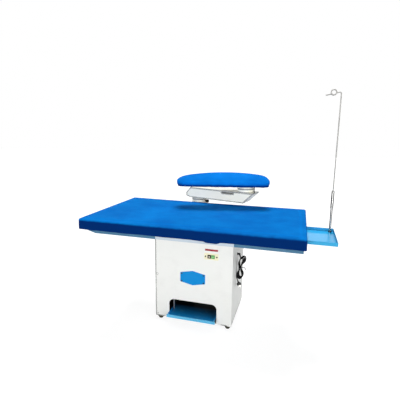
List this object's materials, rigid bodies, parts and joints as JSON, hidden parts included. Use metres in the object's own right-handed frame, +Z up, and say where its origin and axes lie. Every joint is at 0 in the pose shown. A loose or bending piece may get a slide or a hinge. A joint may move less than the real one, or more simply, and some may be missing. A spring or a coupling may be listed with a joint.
{
  "type": "steam ironing table",
  "caption": "Vacuum ironing table with a padded board on a steel cabinet, a foot pedal, a swinging sleeve buck, an iron tray and a hanger pole.",
  "frame": {"origin": "on the floor under the centre of the board", "axes": "+X to the right along the board, +Y to the back where the arm's post stands, +Z up"},
  "size_m": [1.684, 1.0084, 1.6595],
  "materials": {
    "white_paint": "gloss powder coat",
    "grey_blue_paint": "satin paint",
    "blue_paint": "gloss powder coat",
    "light_blue_paint": "gloss powder coat",
    "red_film": "gloss film",
    "blue_cloth": "woven polyester",
    "felt": "needled felt",
    "galvanised_steel": "galvanised",
    "bright_steel": "brushed",
    "chromed_steel": "polished",
    "bronze": "machined",
    "cast_aluminium": "as cast",
    "motor_grey": "painted casting",
    "black_plastic": "moulded",
    "cream_plastic": "moulded",
    "green_plastic": "moulded",
    "dark_red_plastic": "moulded",
    "black_rubber": "matt",
    "zinc_plate": "yellow zinc plating",
    "grey_tie": "moulded"
  },
  "bodies": {
    "frame": {"back_panel": "white_paint", "base_plate": "galvanised_steel", "board_cover": "blue_cloth", "board_pan": "galvanised_steel", "cable_gland": "black_plastic", "cord_hank": "black_rubber", "cord_lead": "black_rubber", "cord_tail": "black_rubber", "cord_tie": "grey_tie", "cross_rails": "grey_blue_paint", "end_rails": "grey_blue_paint", "fan_housing": "galvanised_steel", "felt_pad": "felt", "front_panel": "white_paint", "front_rail": "grey_blue_paint", "hex_plate": "blue_paint", "iron_tray": "light_blue_paint", "left_panel": "white_paint", "levelling_feet": "zinc_plate", "motor": "motor_grey", "motor_shelf": "galvanised_steel", "panel_screws": "bright_steel", "pedal_brackets": "galvanised_steel", "pedal_shaft": "bright_steel", "pedal_spring": "bright_steel", "perforated_plate": "galvanised_steel", "pole_nut": "black_plastic", "pole_sleeve": "chromed_steel", "pole_tube": "chromed_steel", "post_bush": "bronze", "post_clamp": "white_paint", "post_elbow": "white_paint", "post_tube": "white_paint", "power_plug": "black_rubber", "rear_rail": "grey_blue_paint", "red_strip": "red_film", "right_panel": "white_paint", "rod_guide": "galvanised_steel", "suction_duct": "galvanised_steel", "switch_body": "black_plastic", "switch_plate": "cream_plastic", "top_deck": "galvanised_steel"},
    "pedal": {"pedal": "blue_paint"},
    "pull_rod": {"pull_rod": "bright_steel"},
    "damper": {"damper": "galvanised_steel"},
    "impeller": {"impeller": "cast_aluminium", "motor_shaft": "bright_steel"},
    "start_button": {"start_button": "green_plastic"},
    "stop_button": {"stop_button": "dark_red_plastic"},
    "swing_arm": {"arm_duct": "white_paint", "arm_spigot": "white_paint", "arm_neck": "white_paint", "swivel_stop": "bright_steel"},
    "buck": {"buck_plate": "galvanised_steel", "buck_pad": "felt", "buck_cover": "blue_cloth", "buck_turntable": "white_paint", "buck_bolts": "bright_steel"},
    "hanger": {"hanger_rod": "chromed_steel"},
    "lock_knob": {"lock_knob": "black_plastic"}
  },
  "joints": [
    {"name": "pedal_press", "type": "hinge", "parent": "frame", "child": "pedal", "pos_m": [0, 0.15, 0.0725], "axis": [1, 0, 0], "range_deg": [0, 5], "stiffness_Nm_per_rad": 60, "springref_deg": -14.32, "deforming": ["pedal_spring"]},
    {"name": "rod_slide", "type": "slide", "parent": "frame", "child": "pull_rod", "axis": [0, 0, -1], "range_m": [0, 0.0263]},
    {"name": "damper_turn", "type": "hinge", "parent": "frame", "child": "damper", "pos_m": [0, -0.11, 0.6], "axis": [1, 0, 0], "range_deg": [0, 37.6]},
    {"name": "fan_spin", "type": "hinge", "parent": "frame", "child": "impeller", "pos_m": [0, 0.03, 0.43], "axis": [0, 1, 0], "continuous": true},
    {"name": "stop_press", "type": "slide", "parent": "frame", "child": "stop_button", "axis": [0, 1, 0], "range_m": [0, 0.003], "stiffness_N_per_m": 400, "springref_m": -0.002},
    {"name": "start_press", "type": "slide", "parent": "frame", "child": "start_button", "axis": [0, 1, 0], "range_m": [0, 0.003], "stiffness_N_per_m": 400, "springref_m": -0.002},
    {"name": "arm_swing", "type": "hinge", "parent": "frame", "child": "swing_arm", "pos_m": [-0.157, 0.495, 0.8], "axis": [0, 0, 1], "range_deg": [-100, 110]},
    {"name": "buck_swivel", "type": "hinge", "parent": "swing_arm", "child": "buck", "pos_m": [0.26817, 0.37789, 0.93], "axis": [0, 0, 1], "range_deg": [-120, 120]},
    {"name": "hanger_swivel", "type": "hinge", "parent": "frame", "child": "hanger", "pos_m": [0.909, 0.086, 1], "axis": [0, 0, 1], "continuous": true},
    {"name": "knob_turn", "type": "hinge", "parent": "frame", "child": "lock_knob", "pos_m": [-0.157, 0.495, 0.786], "axis": [0.9397, -0.342, 0], "range_deg": [-180, 180]}
  ],
  "couplings": [
    {"joint": "rod_slide", "follows": "pedal_press", "m_per_rad": 0.3},
    {"joint": "damper_turn", "follows": "pedal_press", "ratio": 7.5}
  ]
}
